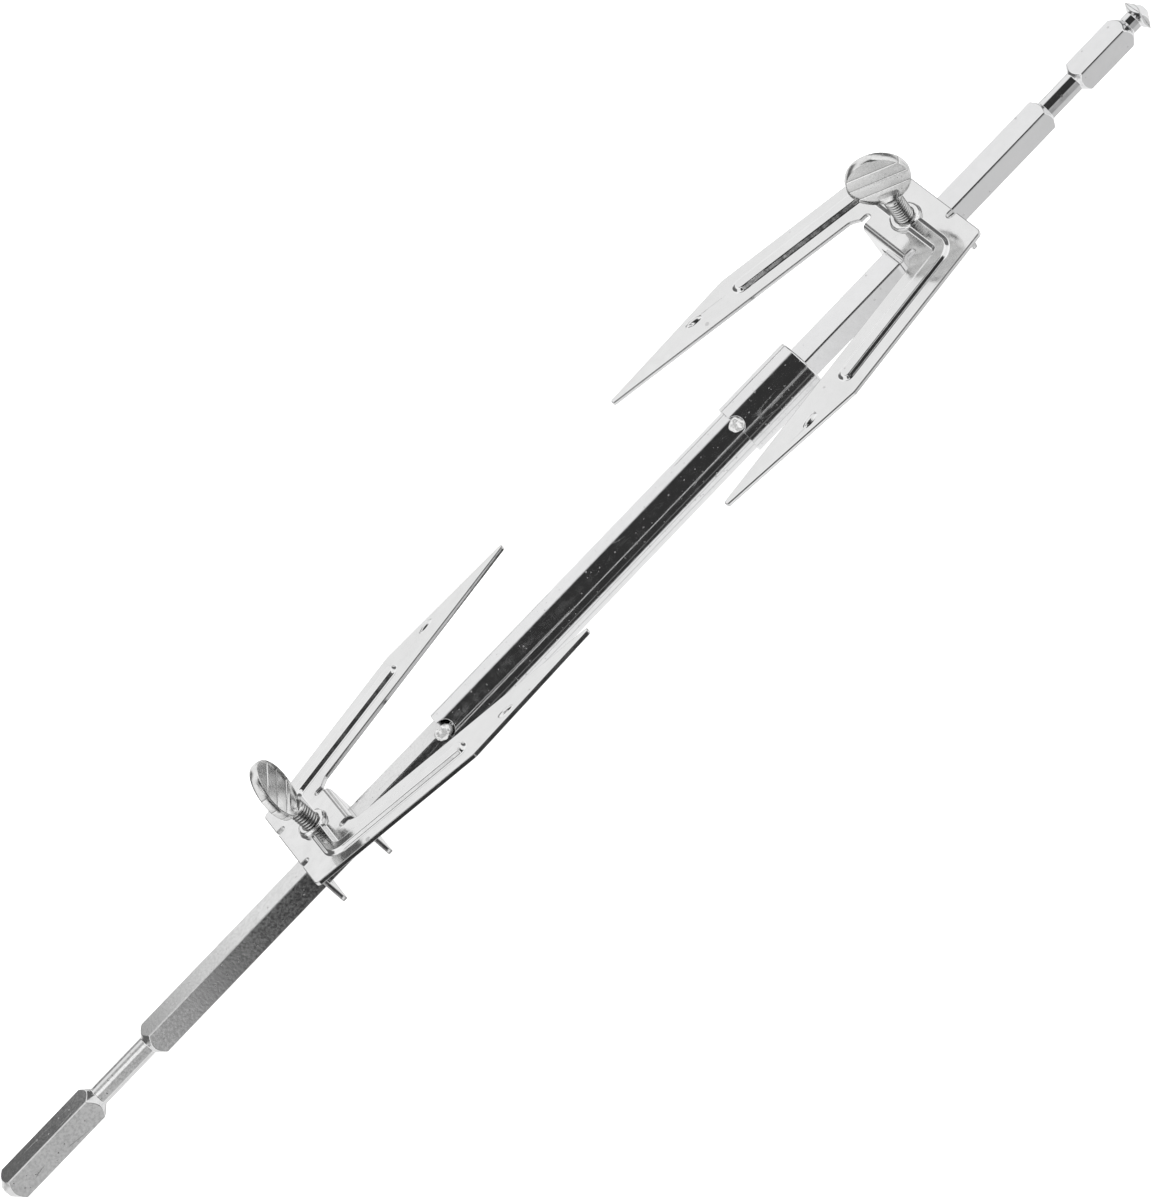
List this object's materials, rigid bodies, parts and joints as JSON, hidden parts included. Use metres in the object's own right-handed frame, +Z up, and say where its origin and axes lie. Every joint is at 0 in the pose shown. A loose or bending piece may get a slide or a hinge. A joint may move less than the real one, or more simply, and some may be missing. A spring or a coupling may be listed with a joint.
{
  "type": "telescoping rotisserie spit with forks",
  "caption": "Sprung telescoping square-bar rotisserie spit for an oven, with sheet-metal meat forks that slide along it and lock with thumbscrews.",
  "frame": {"origin": "centre of the flat end of the drive tip, on the rod's axis", "axes": "+X along the rod towards the button end, +Z up, square to the flat plate of the fork on the sliding bar before that fork leans in its clearance"},
  "size_m": [0.4758, 0.0735, 0.0514],
  "materials": {
    "drive_steel": "satin nickel-plated steel",
    "bright_steel": "bright chrome-plated steel",
    "fork_sheet": "bright-plated pressed sheet",
    "screw_steel": "zinc-plated steel, pressed head",
    "weld_metal": "plated weld bead",
    "inner_steel": "plain oiled steel",
    "spring_wire": "oiled spring wire"
  },
  "bodies": {
    "drive_rod": {"drive_bar": "drive_steel", "extension_tube": "bright_steel", "tube_weld": "weld_metal", "collar": "bright_steel", "collar_weld": "weld_metal", "guide_bush": "inner_steel", "return_spring": "spring_wire"},
    "slide_rod": {"slide_bar": "bright_steel", "stop_sleeve": "inner_steel"},
    "drive_fork": {"drive_fork": "fork_sheet"},
    "handle_fork": {"handle_fork": "fork_sheet"},
    "drive_screw": {"drive_thumbscrew": "screw_steel"},
    "handle_screw": {"handle_thumbscrew": "screw_steel"}
  },
  "joints": [
    {"name": "rod_telescope", "type": "slide", "parent": "drive_rod", "child": "slide_rod", "axis": [1, 0, 0], "range_m": [-0.015, 0], "stiffness_N_per_m": 960, "springref_m": 0.005, "deforming": ["return_spring"]},
    {"name": "drive_fork_slide", "type": "slide", "parent": "drive_rod", "child": "drive_fork", "axis": [1, 0, 0], "range_m": [-0.064, 0.029]},
    {"name": "handle_fork_slide", "type": "slide", "parent": "slide_rod", "child": "handle_fork", "axis": [1, 0, 0], "range_m": [-0.022, 0.038]},
    {"name": "drive_screw_turn", "type": "hinge", "parent": "drive_fork", "child": "drive_screw", "pos_m": [0.1388, 0, 0], "axis": [0, 0.2756, 0.9613], "range_deg": [0, 720]},
    {"name": "handle_screw_turn", "type": "hinge", "parent": "handle_fork", "child": "handle_screw", "pos_m": [0.3827, 0, 0], "axis": [0.0419, 0, 0.9991], "range_deg": [-900, 720]}
  ]
}
